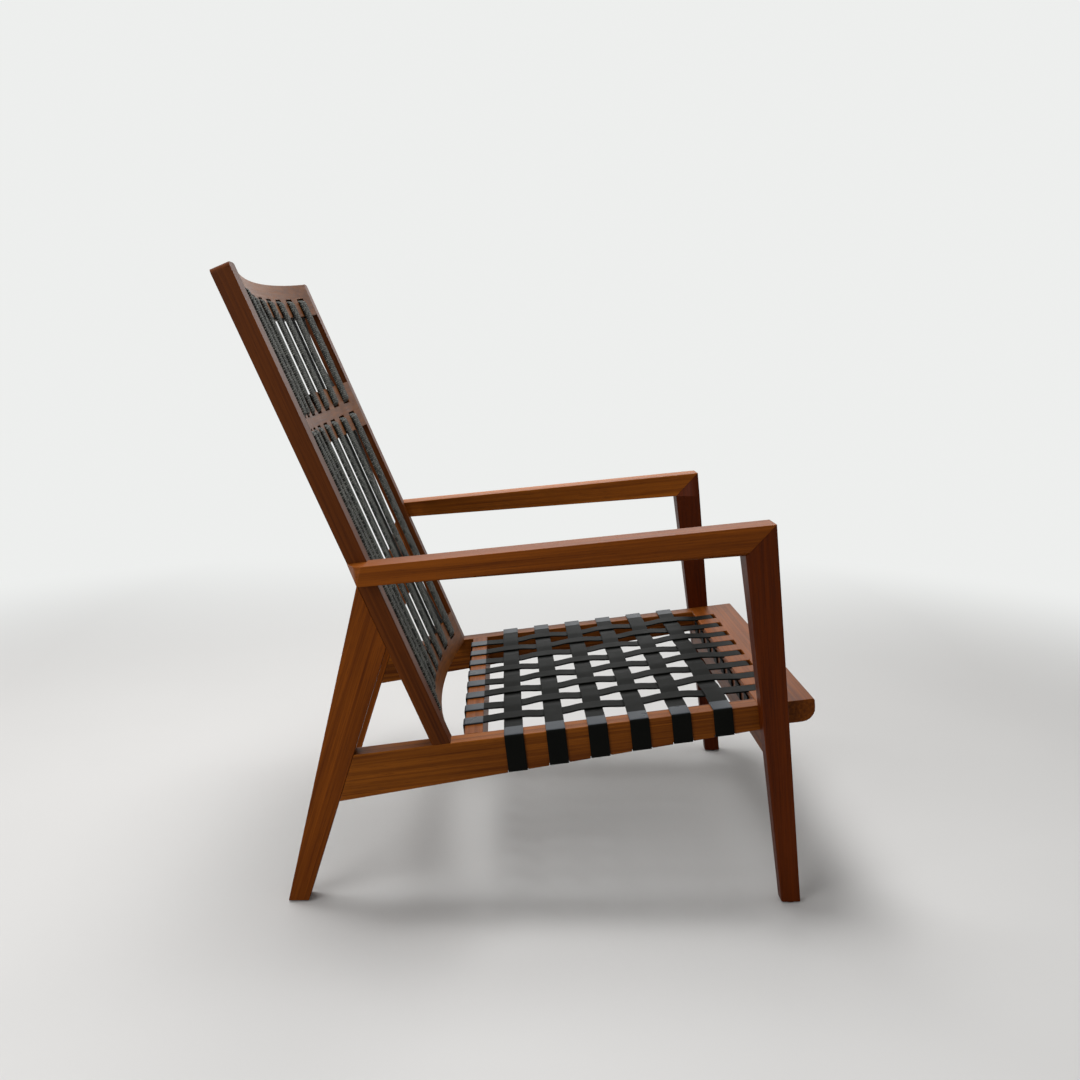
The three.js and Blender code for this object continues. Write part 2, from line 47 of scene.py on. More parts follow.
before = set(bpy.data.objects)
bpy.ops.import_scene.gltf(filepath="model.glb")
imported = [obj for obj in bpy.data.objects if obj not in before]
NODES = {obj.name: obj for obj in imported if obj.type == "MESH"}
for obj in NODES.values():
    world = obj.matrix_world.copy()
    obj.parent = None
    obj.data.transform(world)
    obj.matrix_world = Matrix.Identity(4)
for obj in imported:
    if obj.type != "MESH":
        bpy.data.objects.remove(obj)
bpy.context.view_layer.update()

X_AXIS = Vector((1, 0, 0))
Y_AXIS = Vector((0, 1, 0))
Z_AXIS = Vector((0, 0, 1))

# The seat and the back each have a frame of their own, pitched about the Y axis
SEAT_PITCH = math.radians(7)
BACK_RECLINE = math.radians(23.2)
REAR_LEG_RAKE = math.radians(17.4)
SEAT_FRAME = Matrix.Translation((-0.235457, 0, 0.2256)) @ Matrix.Rotation(-SEAT_PITCH, 4, "Y")
BACK_FRAME = Matrix.Translation((-0.096401, 0, 0.242674)) @ Matrix.Rotation(-BACK_RECLINE, 4, "Y")
SEAT_FORWARD = (SEAT_FRAME.to_3x3() @ X_AXIS).normalized()
BACK_FORWARD = (BACK_FRAME.to_3x3() @ X_AXIS).normalized()
BACK_UP = (BACK_FRAME.to_3x3() @ Z_AXIS).normalized()
REAR_LEG_UP = Vector((math.sin(REAR_LEG_RAKE), 0, math.cos(REAR_LEG_RAKE)))

SIDES = ("right", "left")
RAILS = ("seat_front_rail", "seat_rear_rail", "front_stretcher")
BACK_RAILS = ("back_top_rail", "back_middle_rail", "back_bottom_rail")
SIDE_TIMBERS = ("side_rail", "back_stile", "rear_leg", "front_leg", "arm")
CROSS_STRAPS = 6
LONG_STRAPS = 8
BACK_BANDS = 8

# Steps in a strap's bend, and the distance between its points where it weaves and elsewhere
BEND_STEPS = 6
WEAVE_STEP = 0.004
STRAP_STEP = 0.012

# Points on a band's half turn round a pin
LOOP_POINTS = 15

# How much lighter or darker than plain walnut a member is, in red, green and blue: partly each member's
# own tone and partly painted light
PLAIN = (1, 1, 1)
SHADES = {
    "side_rail": (1.2, 1.3, 1.25),
    "back_stile": (0.66, 0.62, 0.75),
    "rear_leg": (1.3, 1.25, 1.0),
    # The two arms and the two front legs differ by painted light: the left arm is painted lighter and the
    # left front leg darker than their twins
    "arm_right": (1.35, 1.33, 1.2),
    "arm_left": (2.0, 2.15, 2.0),
    "front_leg_right": (0.60, 0.38, 0.12),
    "front_leg_left": (0.45, 0.25, 0.10),
    # A painted pale grey sheen on the back rails
    "back_rail": (0.97, 1.13, 1.35),
}
# Painted shade on the faces of the back rails that look neither forward nor back: in the notches, on tops,
# undersides and ends
BACK_RAIL_PAINTED_SHADE = 0.35

# How much stronger than plain the figure of the grain is
SIDE_RAIL_FIGURE = 1.7
SEAT_RAIL_FIGURE = 1.3

# How edges and faces of the timbers are told apart
WELD = 1e-5
JOINT_REACH = 0.0006
FLAT_ANGLE = math.radians(0.6)
FOLD_ANGLE = math.radians(5)
SMOOTH_ANGLE = math.radians(42)
SHARP_ANGLE = math.radians(50)

# Taken off an arm's rise and a front leg's lean to find the line of the grain
ARM_DEPTH = 0.03
LEG_WIDTH = 0.045

# How far the rounded top of a stile reaches down, and which way the left arm's rear facet looks
STILE_TOP = 0.02
ARM_REAR_FACET = Vector((-0.9, 0.4, 0)).normalized()

# Each lamp's setting, size, place and target
LAMPS = {
    "Overhead": ("overhead", 1.3, (-0.45, 0.35, 2.9), (0, 0, 0.3)),
    "Rear": ("rear", 2.0, (0.4, 3.3, 1.9), (0, 0, 0.5)),
    "Fill": ("fill", 2.4, (-2.6, -2.8, 1.7), (0, 0, 0.4)),
}
CAMERA_PLACE = (-0.02287, -1.79042, 0.805)


def colour_property(name, description, default):
    return FloatVectorProperty(
        name=name, description=description, default=default, size=3, min=0, max=1, subtype="COLOR"
    )


def length_property(name, description, default):
    return FloatProperty(
        name=name, description=description, default=default, min=0, unit="LENGTH", precision=4
    )


def angle_property(name, description, degrees):
    return FloatProperty(
        name=name, description=description, default=math.radians(degrees), unit="ROTATION"
    )


def power_property(name, default):
    return FloatProperty(name=name, description="Power in watts", default=default, min=0)


class ChairTimber(bpy.types.PropertyGroup):
    """Edges and colours of the walnut."""

    edge_radius: length_property("Edge radius", "Easing on the edges", 0.0011)
    arm_radius: length_property("Arm radius", "Round-over under and behind the arms", 0.009)
    leg_radius: length_property("Leg radius", "Round-over behind the front legs", 0.004)
    top_radius: length_property("Stile top radius", "Rounding on the tops of the stiles", 0.008)
    slot_radius: length_property("Slot radius", "Rounding where the long straps enter the slots", 0.005)
    dark: colour_property("Dark grain", "Darkest tone of the grain", (0.066, 0.0135, 0.0010))
    light: colour_property("Light grain", "Lightest tone of the grain", (0.230, 0.063, 0.0062))
    pore: colour_property("Pores", "Tone of the open pores", (0.036, 0.009, 0.002))


class ChairStraps(bpy.types.PropertyGroup):
    """Leather straps of the seat."""

    thickness: length_property("Thickness", "Thickness of the leather", 0.0025)
    clearance: length_property("Clearance", "Gap between the leather and the wood", 0.0003)
    weave_gap: length_property("Weave gap", "Gap between crossing straps", 0.0004)
    bend_radius: length_property("Bend radius", "Radius of a bend at mid thickness", 0.00205)
    rim_radius: length_property("Rim radius", "Rounding of a strap's edges", 0.0009)
    turn_under: length_property("Turn under", "Length under a side rail", 0.02)
    rear_drop: length_property("Rear drop", "Length down the rear rail", 0.04)
    slot_setback: length_property("Slot setback", "From the front rail's rear edge to the slots", 0.03)
    tail_drop: length_property("Tail drop", "Gap above a turned-up tail", 0.008)
    leather: colour_property("Leather", "Tone of the straps", (0.0024, 0.0026, 0.0020))
    # Painted sheen: a pale grey-blue tone where a strap lies on a rail
    worn: colour_property("Painted leather sheen", "Tone where a strap lies on a rail", (0.044, 0.050, 0.058))


class ChairBands(bpy.types.PropertyGroup):
    """Braided bands of the back."""

    thickness: length_property("Thickness", "Thickness of a band", 0.0045)
    width: length_property("Width", "Width of a band", 0.028)
    crown: length_property("Crown", "Extra thickness on a band's front at its ends", 0.0009)
    fullness: length_property("Fullness", "Extra thickness on a band's front between the rails", 0.0016)
    swell: length_property("Swell", "Length over which a band grows to its full thickness", 0.045)
    strand: length_property("Strand", "Width of a strand in the braid", 0.0024)
    scallop: length_property("Scallop", "Depth of the scallops along a band's edges", 0.0008)
    loop_radius: length_property("Loop radius", "Radius of a loop at mid thickness", 0.00555)
    sag: length_property("Sag", "How far the rear runs of the slack bands at the left hang back", 0.0090)
    outermost: length_property("Outermost band", "From the middle to the last band", 0.2155)
    bow: length_property("Bow", "Depth of the bow of the back", 0.03)
    bow_half: length_property("Half length of the bow", "From the middle to the bow's ends", 0.2637)
    dark: colour_property("Dark yarn", "Darkest strands", (0.005, 0.006, 0.006))
    light: colour_property("Light yarn", "Lightest strands", (0.270, 0.280, 0.250))


class ChairSmallParts(bpy.types.PropertyGroup):
    """Glides and hidden fasteners."""

    glide_edge: length_property("Glide edge", "Rounding of a glide's lower edge", 0.0004)
    nylon: colour_property("Nylon", "Tone of the glides", (0.015, 0.014, 0.013))
    steel: colour_property("Steel", "Tone of the bolts", (0.52, 0.51, 0.49))


class ChairStage(bpy.types.PropertyGroup):
    """Studio round the chair."""

    focal_length: FloatProperty(
        name="Focal length", description="Lens of the camera in millimetres", default=36.43, min=1
    )
    heading: angle_property("Camera heading", "Turn of the camera about the vertical", -2.035)
    tilt: angle_property("Camera tilt", "Tilt of the camera up from straight down", 79.908)
    roll: angle_property("Camera roll", "Roll of the camera about its own axis", 0.336)
    overhead: power_property("Overhead light", 66)
    fill: power_property("Fill light", 54)
    rear: power_property("Rear light", 15)
    world: FloatProperty(name="Ambient light", description="Strength of the world", default=0.30, min=0)
    half_width: length_property("Half width", "From the middle to the sides of the floor", 12)
    floor_front: length_property("Floor in front", "From the chair to the floor's near edge", 9)
    floor_back: length_property("Floor behind", "From the chair to the start of the sweep's curve", 2.5)
    arc_radius: length_property("Sweep radius", "Radius of the sweep's curve", 2)
    arc_steps: IntProperty(name="Sweep steps", description="Steps in the sweep's curve", default=24, min=2)
    wall_height: length_property("Wall height", "Height of the wall above the curve", 6)
    floor: colour_property("Floor", "Tone of the floor", (0.72, 0.715, 0.705))
    bounce: colour_property("Bounce", "Tone of the light that the floor throws back", (0.30, 0.25, 0.19))
    backdrop: colour_property("Backdrop", "Tone of the backdrop", (0.85, 0.86, 0.85))


# Node trees

def new_material(name):
    material = bpy.data.materials.new(name)
    material.use_nodes = True
    material.node_tree.nodes.clear()
    return material, material.node_tree


def add(tree, kind, inputs=None, **settings):
    """A node with its settings, each input set to a number or joined to a socket."""
    node = tree.nodes.new(kind)
    for name, value in settings.items():
        setattr(node, name, value)
    for name, value in (inputs or {}).items():
        if isinstance(value, bpy.types.NodeSocket):
            tree.links.new(value, node.inputs[name])
        else:
            node.inputs[name].default_value = value
    return node


def maths(tree, operation, first, second=0.0):
    return add(tree, "ShaderNodeMath", {0: first, 1: second}, operation=operation).outputs[0]


def stretched(tree, vector, scale):
    return add(tree, "ShaderNodeMapping", {"Vector": vector, "Scale": scale}).outputs["Vector"]


def noise(tree, vector, scale, detail=2.0, roughness=0.5):
    inputs = {"Vector": vector, "Scale": scale, "Detail": detail, "Roughness": roughness}
    return add(tree, "ShaderNodeTexNoise", inputs).outputs["Fac"]


def ramp(tree, factor, stops):
    """A colour ramp through (place, colour) stops in rising order."""
    node = add(tree, "ShaderNodeValToRGB", {"Fac": factor})
    elements = node.color_ramp.elements
    for place, colour in stops[1:-1]:
        elements.new(place)
    for element, (place, colour) in zip(elements, stops):
        element.position = place
        element.color = (*colour, 1)
    return node.outputs["Color"]


def level(tree, factor, low, high, to_low=0.0, to_high=1.0):
    inputs = {"Value": factor, "From Min": low, "From Max": high, "To Min": to_low, "To Max": to_high}
    return add(tree, "ShaderNodeMapRange", inputs).outputs["Result"]


def blended(tree, kind, factor, first, second):
    inputs = {0: factor, 6: first, 7: second}
    node = add(tree, "ShaderNodeMix", inputs, data_type="RGBA", blend_type=kind)
    return node.outputs[2]


def finished(tree, colour, roughness, height, distance, constants):
    """The surface shader, with its bump and the values that are the same all over."""
    bump = add(tree, "ShaderNodeBump", {"Height": height, "Distance": distance, "Strength": 1.0})
    inputs = {"Base Color": colour, "Roughness": roughness, "Normal": bump.outputs["Normal"], **constants}
    shader = add(tree, "ShaderNodeBsdfPrincipled", inputs)
    add(tree, "ShaderNodeOutputMaterial", {"Surface": shader.outputs["BSDF"]})


def walnut(name, along, seed, shade=PLAIN, figure=1.0):
    """Oiled walnut whose grain runs along a member."""
    timber = bpy.context.scene.chair_timber
    material, tree = new_material(name)
    side = along.orthogonal().normalized()
    turn = Matrix((along, side, along.cross(side))).to_euler()
    place = add(tree, "ShaderNodeTexCoord").outputs["Object"]
    inputs = {"Vector": place, "Rotation": turn, "Location": (0.37 * seed, 0.11 * seed, 0.23 * seed)}
    grain = add(tree, "ShaderNodeMapping", inputs).outputs["Vector"]

    broad = noise(tree, stretched(tree, grain, (1.8, 16, 16)), 1.0, 2.0)
    wander = noise(tree, stretched(tree, grain, (3.5, 22, 22)), 1.0, 2.0)
    rings = noise(tree, stretched(tree, grain, (1.6, 190, 190)), 1.0, 2.0, 0.55)
    fibre = noise(tree, stretched(tree, grain, (9, 620, 620)), 1.0, 3.0, 0.6)
    pores = noise(tree, stretched(tree, grain, (45, 1500, 1500)), 1.0, 1.0)

    tone = 0.5
    for value, share in ((broad, 0.20), (wander, 0.10), (rings, 0.24 * figure), (fibre, 0.16)):
        tone = maths(tree, "ADD", tone, level(tree, value, 0.3, 0.7, -share, share))
    # The shade scales the grain's tones: a member's own tone, and painted light where it has any
    dark = tuple(share * channel for share, channel in zip(shade, timber.dark))
    light = tuple(share * channel for share, channel in zip(shade, timber.light))
    # The palest streaks fall back to a middle tone
    middle = tuple(math.sqrt(a * b) for a, b in zip(dark, light))
    colour = ramp(tree, tone, [(0.0, dark), (0.996, light), (1.0, middle)])
    open_pores = level(tree, pores, 0.62, 0.72)
    colour = blended(tree, "MIX", maths(tree, "MULTIPLY", open_pores, 0.45), colour, (*timber.pore, 1))
    roughness = level(tree, fibre, 0.2, 0.8, 0.40, 0.52)
    ridges = maths(tree, "MULTIPLY", fibre, 0.4)
    height = maths(tree, "SUBTRACT", ridges, maths(tree, "MULTIPLY", open_pores, 0.6))
    finished(tree, colour, roughness, height, 0.00010, {"IOR": 1.5, "Specular IOR Level": 0.10})
    return material


def strap_leather():
    """Smooth black leather, shinier where it is pulled over a rail, with a pale grey-blue painted sheen
    there.
    """
    straps = bpy.context.scene.chair_straps
    material, tree = new_material("strap_leather")
    place = add(tree, "ShaderNodeTexCoord").outputs["Object"]
    worn = add(tree, "ShaderNodeAttribute", attribute_name="worn").outputs["Fac"]
    cells = add(
        tree, "ShaderNodeTexVoronoi", {"Vector": place, "Scale": 1400.0}, feature="SMOOTH_F1"
    ).outputs["Distance"]
    creases = noise(tree, place, 260.0, 3.0, 0.6)
    patches = noise(tree, place, 22.0, 3.0)
    shade = tuple(0.7 * channel for channel in straps.leather)
    tint = tuple(1.3 * channel for channel in straps.leather)
    colour = ramp(tree, patches, [(0.3, shade), (0.7, tint)])
    # Where a strap lies on a rail its colour takes a painted pale sheen and its roughness drops
    colour = blended(tree, "MIX", worn, colour, (*straps.worn, 1))
    rough = level(tree, patches, 0.3, 0.7, 0.52, 0.60)
    roughness = maths(tree, "SUBTRACT", rough, maths(tree, "MULTIPLY", worn, 0.26))
    height = maths(tree, "ADD", maths(tree, "MULTIPLY", cells, 0.5), maths(tree, "MULTIPLY", creases, 0.8))
    finished(tree, colour, roughness, height, 0.00008, {"IOR": 1.45, "Specular IOR Level": 0.06})
    return material


def band_braid():
    """Flat braid: strands cross on the diagonals, with paler ones among the dark and painted shade in the
    dips between them.
    """
    bands = bpy.context.scene.chair_bands
    material, tree = new_material("band_braid")
    where = add(tree, "ShaderNodeUVMap", uv_map="Along").outputs["UV"]
    axes = add(tree, "ShaderNodeSeparateXYZ", {"Vector": where})
    pitch = 1 / (bands.strand * math.sqrt(2))
    along = maths(tree, "MULTIPLY", axes.outputs["X"], pitch)
    across = maths(tree, "MULTIPLY", axes.outputs["Y"], pitch)
    rising = maths(tree, "ADD", along, across)
    falling = maths(tree, "SUBTRACT", along, across)
    rising_strand = maths(tree, "FLOOR", rising)
    falling_strand = maths(tree, "FLOOR", falling)

    def wave(value, length):
        """Rises and falls once over a length."""
        return maths(tree, "SINE", maths(tree, "MULTIPLY", value, math.pi / length))

    def float_over(strand, travel, start):
        """How far along its float of two a strand is, from 0 to 2 while it lies on top."""
        place = maths(tree, "ADD", maths(tree, "ADD", strand, travel), start)
        return maths(tree, "FLOORED_MODULO", place, 4.0)

    rising_float = float_over(rising_strand, falling, 0.0)
    falling_float = float_over(falling_strand, rising, -2.0)
    on_top = maths(tree, "LESS_THAN", rising_float, 2.0)

    def crown_of(across_strand, along_float):
        round_across = wave(maths(tree, "FRACT", across_strand), 1.0)
        return maths(tree, "POWER", maths(tree, "MULTIPLY", round_across, wave(along_float, 2.0)), 0.6)

    crowns = {0: on_top, 2: crown_of(falling, falling_float), 3: crown_of(rising, rising_float)}
    crown = add(tree, "ShaderNodeMix", crowns).outputs[0]
    upper = add(tree, "ShaderNodeMix", {0: on_top, 2: falling_strand, 3: rising_strand}).outputs[0]
    upper = maths(tree, "ADD", upper, maths(tree, "MULTIPLY", on_top, 0.37))
    chance = add(tree, "ShaderNodeTexWhiteNoise", {"W": upper}, noise_dimensions="1D").outputs["Value"]
    place = add(tree, "ShaderNodeTexCoord").outputs["Object"]
    fuzz = noise(tree, place, 2600.0, 2.0)
    flecks = noise(tree, place, 900.0, 2.0)
    tone = maths(tree, "ADD", maths(tree, "MULTIPLY", chance, 0.5), maths(tree, "MULTIPLY", flecks, 0.6))
    yarn = ramp(tree, tone, [(0.25, tuple(bands.dark)), (0.85, tuple(bands.light))])
    # Painted shade: the colour darkens where a strand dips away from its crown between the others
    painted_groove_shade = ramp(tree, crown, [(0.25, (0.03, 0.03, 0.03)), (0.8, (1, 1, 1))])
    colour = blended(tree, "MULTIPLY", 1.0, yarn, painted_groove_shade)
    height = maths(tree, "ADD", crown, maths(tree, "MULTIPLY", fuzz, 0.15))
    finished(tree, colour, level(tree, fuzz, 0.2, 0.8, 0.62, 0.80), height, 0.0010, {
        "IOR": 1.45, "Specular IOR Level": 0.2, "Sheen Weight": 0.05, "Sheen Roughness": 0.5,
    })
    return material


def moulded_nylon():
    """Matte nylon with a fine moulded texture."""
    parts = bpy.context.scene.chair_small_parts
    material, tree = new_material("glide_nylon")
    place = add(tree, "ShaderNodeTexCoord").outputs["Object"]
    speckle = noise(tree, place, 1800.0, 3.0)
    pale = tuple(1.7 * channel for channel in parts.nylon)
    colour = ramp(tree, speckle, [(0.35, tuple(parts.nylon)), (0.7, pale)])
    finished(tree, colour, level(tree, speckle, 0.2, 0.8, 0.55, 0.70), speckle, 0.00004, {"IOR": 1.53})
    return material


def turned_steel():
    """Plain steel with faint turning marks across the chair."""
    parts = bpy.context.scene.chair_small_parts
    material, tree = new_material("bolt_steel")
    place = add(tree, "ShaderNodeTexCoord").outputs["Object"]
    marks = noise(tree, stretched(tree, place, (60, 2400, 60)), 1.0, 3.0)
    dull = tuple(0.7 * channel for channel in parts.steel)
    colour = ramp(tree, marks, [(0.3, dull), (0.7, tuple(parts.steel))])
    finished(tree, colour, level(tree, marks, 0.2, 0.8, 0.28, 0.42), marks, 0.00003, {"Metallic": 1.0})
    return material


def pale_rays(tree):
    """1 for the camera and for what metal and glass show, and 0 for the light on the chair."""
    rays = add(tree, "ShaderNodeLightPath").outputs
    seen = maths(tree, "MAXIMUM", rays["Is Camera Ray"], rays["Is Glossy Ray"])
    return maths(tree, "MAXIMUM", seen, rays["Is Transmission Ray"])


# Meshes

def merged_copy(node):
    """A bmesh of a CAD node with its triangles joined and its flat faces whole."""
    bm = bmesh.new()
    bm.from_mesh(NODES[node].data)
    bmesh.ops.remove_doubles(bm, verts=bm.verts, dist=WELD)
    bmesh.ops.dissolve_limit(
        bm, angle_limit=FLAT_ANGLE, use_dissolve_boundaries=False, verts=bm.verts, edges=bm.edges
    )
    return bm


def clear_folds(bm, up, reach):
    """Slides the folds between a bow's facets away from the notches, whose edges can then be eased."""
    upright = [edge for edge in bm.edges if abs(edge_heading(edge).dot(up)) > 0.999]
    corners = [edge_middle(edge) for edge in upright if edge.calc_face_angle(0) > SHARP_ANGLE]
    for fold in upright:
        if fold.calc_face_angle(math.pi) > FOLD_ANGLE:
            continue
        middle = edge_middle(fold)
        offsets = [(middle - corner) - up * (middle - corner).dot(up) for corner in corners]
        nearest = min(offsets, key=lambda offset: offset.length)
        if nearest.length < reach:
            faces = fold.link_faces
            beyond = max(faces, key=lambda face: (face.calc_center_median() - middle).dot(nearest))
            slide = up.cross(beyond.normal).normalized()
            slide *= math.copysign(reach - nearest.length, slide.dot(nearest))
            bmesh.ops.translate(bm, vec=slide, verts=fold.verts)


def ease(bm, radius, segments, wanted=None):
    """Rounds the convex edges that are sharp and long enough, or those of them that are wanted."""
    edges = [
        edge
        for edge in bm.edges
        if edge.is_manifold
        and edge.calc_face_angle_signed(0) > SHARP_ANGLE
        and edge.calc_length() > 2.5 * radius
        and (wanted is None or wanted(edge))
    ]
    if wanted and not edges:
        raise RuntimeError("no edge to round")
    bmesh.ops.bevel(
        bm,
        geom=edges,
        offset=radius,
        offset_type="OFFSET",
        segments=segments,
        profile=0.5,
        affect="EDGES",
        clamp_overlap=False,
        material=-1,
    )


def edge_middle(edge):
    return (edge.verts[0].co + edge.verts[1].co) / 2


def edge_heading(edge):
    return (edge.verts[1].co - edge.verts[0].co).normalized()


def beside(edge, direction, share):
    """Whether one of an edge's faces looks in a direction."""
    return any(face.normal.dot(direction) > share for face in edge.link_faces)


def shown(name, bm, material, node):
    """An object for a finished bmesh, riding on the frame in place of a CAD node."""
    mesh = bpy.data.meshes.new(name)
    bm.to_mesh(mesh)
    bm.free()
    mesh.materials.append(material)
    mesh.shade_smooth()
    piece = bpy.data.objects.new(name, mesh)
    bpy.context.scene.collection.objects.link(piece)
    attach(piece, "root")
    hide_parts(node)
    return piece


def keep_flats(piece):
    """Keeps large faces flat beside their rounded edges."""
    modifier = piece.modifiers.new("Flat faces", "WEIGHTED_NORMAL")
    modifier.keep_sharp = True
    modifier.weight = 100


def timber_nodes():
    return [f"{name}_{hand}" for name in SIDE_TIMBERS for hand in SIDES] + [*RAILS, *BACK_RAILS]


def joint_finder(node):
    """Tells whether a face lies against another timber, where its edges stay sharp."""
    trees = []
    for other in timber_nodes():
        if other != node:
            data = NODES[other].data
            corners = [vertex.co for vertex in data.vertices]
            trees.append(BVHTree.FromPolygons(corners, [tuple(face.vertices) for face in data.polygons]))

    def in_joint(face):
        centre = face.calc_center_median()
        return any(tree.find_nearest(centre, JOINT_REACH)[0] is not None for tree in trees)

    return in_joint


def timber_piece(node, along, seed, rounding=(), shade=PLAIN, figure=1.0, bowed=False):
    """A wooden CAD node with eased edges and grain along it. A bowed one has notches, and painted shade on
    its faces that look neither forward nor back.
    """
    timber = bpy.context.scene.chair_timber
    bm = merged_copy(node)
    if bowed:
        clear_folds(bm, BACK_UP, 3 * timber.edge_radius)
    for radius, segments, wanted in rounding:
        ease(bm, radius, segments, wanted)
    in_joint = joint_finder(node)
    joints = {face for face in bm.faces if in_joint(face)}
    ease(bm, timber.edge_radius, 3, lambda edge: joints.isdisjoint(edge.link_faces))
    bmesh.ops.connect_verts_concave(bm, faces=bm.faces)
    bm.normal_update()
    for edge in bm.edges:
        edge.smooth = edge.calc_face_angle(0) < SMOOTH_ANGLE
    if bowed:
        # Faces that look neither forward nor back, in the notches and on tops, undersides and ends, take a
        # darker copy of the walnut: painted shade
        for face in bm.faces:
            face.material_index = int(abs(face.normal.dot(BACK_FORWARD)) < 0.5)
    piece = shown(f"eased_{node}", bm, walnut(f"walnut_{node}", along, seed, shade, figure), node)
    if bowed:
        # The darker copy carries the painted shade
        painted_shade_tone = tuple(BACK_RAIL_PAINTED_SHADE * channel for channel in shade)
        piece.data.materials.append(walnut(f"walnut_{node}_notches", along, seed, painted_shade_tone, figure))
    keep_flats(piece)
    return piece


def finish_node(node, material):
    """A CAD node kept as it is, with a detailed material."""
    data = NODES[node].data
    data.materials.clear()
    data.materials.append(material)


def bent(corners, radii, steps):
    """A route through corners, each rounded to a radius of its own."""
    points = [Vector(corners[0])]
    for before, corner, after, radius in zip(corners, corners[1:], corners[2:], radii):
        corner = Vector(corner)
        back = (Vector(before) - corner).normalized()
        ahead = (Vector(after) - corner).normalized()
        half = back.angle(ahead) / 2
        if math.isclose(half, math.pi / 2, rel_tol=1e-4):
            points.append(corner)
            continue
        centre = corner + (back + ahead).normalized() * (radius / math.sin(half))
        start = corner + back * (radius / math.tan(half)) - centre
        turn = start.angle_signed(corner + ahead * (radius / math.tan(half)) - centre)
        for step in range(steps + 1):
            points.append(centre + Matrix.Rotation(-turn * step / steps, 2) @ start)
    points.append(Vector(corners[-1]))
    return points


def lengths_along(route):
    """The distance of each point of a route from its start."""
    lengths = [0.0]
    for start, end in zip(route, route[1:]):
        lengths.append(lengths[-1] + (end - start).length)
    return lengths


def eased(share):
    """A share from 0 to 1 that starts and ends gently."""
    return share * share * (3 - 2 * share)


def evenly(first, last, count):
    return [first + (last - first) * index / (count - 1) for index in range(count)]


def filled(points, spacing):
    """The same route with points no further apart than a spacing."""
    route = [points[0]]
    for start, end in zip(points, points[1:]):
        parts = max(1, math.ceil((end - start).length / spacing))
        route += [start.lerp(end, part / parts) for part in range(1, parts + 1)]
    return route


def strap_piece(node, route, to_part, width, leather, worn):
    """A leather strap swept along a route, in the plane of a matrix's X and Z, with rounded edges."""
    straps = bpy.context.scene.chair_straps
    across = 6
    last = len(route) - 1
    bm = bmesh.new()
    bmesh.ops.create_grid(bm, x_segments=last, y_segments=across, size=0.5)
    lengths = lengths_along(route)
    along = bm.loops.layers.uv.new("Along")
    mask = bm.verts.layers.float.new("worn")
    for face in bm.faces:
        for loop in face.loops:
            step = round((loop.vert.co.x + 0.5) * last)
            loop[along].uv = (lengths[step], loop.vert.co.y * width)
    for vert in bm.verts:
        point = route[round((vert.co.x + 0.5) * last)]
        # Marks where a strap lies on a rail: polished there, and given a painted sheen
        vert[mask] = 1.0 if worn(point) else 0.0
        vert.co = to_part @ Vector((point.x, vert.co.y * width, point.y))
    bmesh.ops.recalc_face_normals(bm, faces=bm.faces)
    piece = shown(f"woven_{node}", bm, leather, node)
    wall = piece.modifiers.new("Thickness", "SOLIDIFY")
    wall.thickness = straps.thickness
    wall.offset = 0
    wall.use_even_offset = True
    edge = piece.modifiers.new("Rim", "BEVEL")
    edge.width = straps.rim_radius
    edge.segments = 3
    edge.limit_method = "ANGLE"
    edge.angle_limit = math.radians(60)
    edge.use_clamp_overlap = False
    keep_flats(piece)
    return piece


def band_piece(node, route, to_part, braid):
    """A flat braid with scalloped edges, fuller on its front between the rails, swept along a route."""
    bands = bpy.context.scene.chair_bands
    around = 24
    squareness = 0.75
    scallop_reach = 6
    last = len(route) - 1
    bm = bmesh.new()
    bmesh.ops.create_grid(bm, x_segments=last, y_segments=around, size=0.5)
    along = bm.loops.layers.uv.new("Along")
    lengths = lengths_along(route)
    half = bands.width / 2
    period = bands.strand * math.sqrt(2)
    spots = {}
    front = max(point.x for point in route) - WELD
    ends = [point.y for point in route if point.x > front]

    def crown_at(point):
        """Thickness added to the front, which grows smoothly away from both ends."""
        if point.x < front:
            return bands.crown
        share = min(1.0, (point.y - min(ends)) / bands.swell, (max(ends) - point.y) / bands.swell)
        return bands.crown + (bands.fullness - bands.crown) * eased(share)

    def squared(value):
        """Flattens a round section's sides."""
        return math.copysign(abs(value) ** squareness, value)

    for vert in bm.verts:
        step = round((vert.co.x + 0.5) * last)
        angle = 2 * math.pi * (vert.co.y + 0.5)
        across = squared(math.cos(angle))
        depth = squared(math.sin(angle))
        thick = bands.thickness / 2 + (crown_at(route[step]) if depth > 0 else 0)
        lobe = abs(math.sin(math.pi * (lengths[step] / period + (0.5 if across > 0 else 0)))) - 1
        heading = (route[min(step + 1, last)] - route[max(step - 1, 0)]).normalized()
        outward = Vector((heading.y, -heading.x))
        point = route[step] + outward * (thick * depth)
        wide = across * (half + bands.scallop * lobe * abs(across) ** scallop_reach)
        spots[vert] = (step, across * half)
        vert.co = to_part @ Vector((point.x, wide, point.y))
    for face in bm.faces:
        for loop in face.loops:
            step, across = spots[loop.vert]
            loop[along].uv = (lengths[step], across)
    bmesh.ops.remove_doubles(bm, verts=bm.verts, dist=WELD / 10)
    bmesh.ops.holes_fill(bm, edges=[edge for edge in bm.edges if edge.is_boundary])
    bmesh.ops.recalc_face_normals(bm, faces=bm.faces)
    return shown(f"braided_{node}", bm, braid, node)


def seat_span(node):
    """Lowest and highest corner of a CAD node in the seat's own frame."""
    turned = SEAT_FRAME.inverted()
    corners = [turned @ vertex.co for vertex in NODES[node].data.vertices]
    return [Vector(pick(corner[axis] for corner in corners) for axis in range(3)) for pick in (min, max)]


def middle_of(node, axis):
    low, high = seat_span(node)
    return (low[axis] + high[axis]) / 2


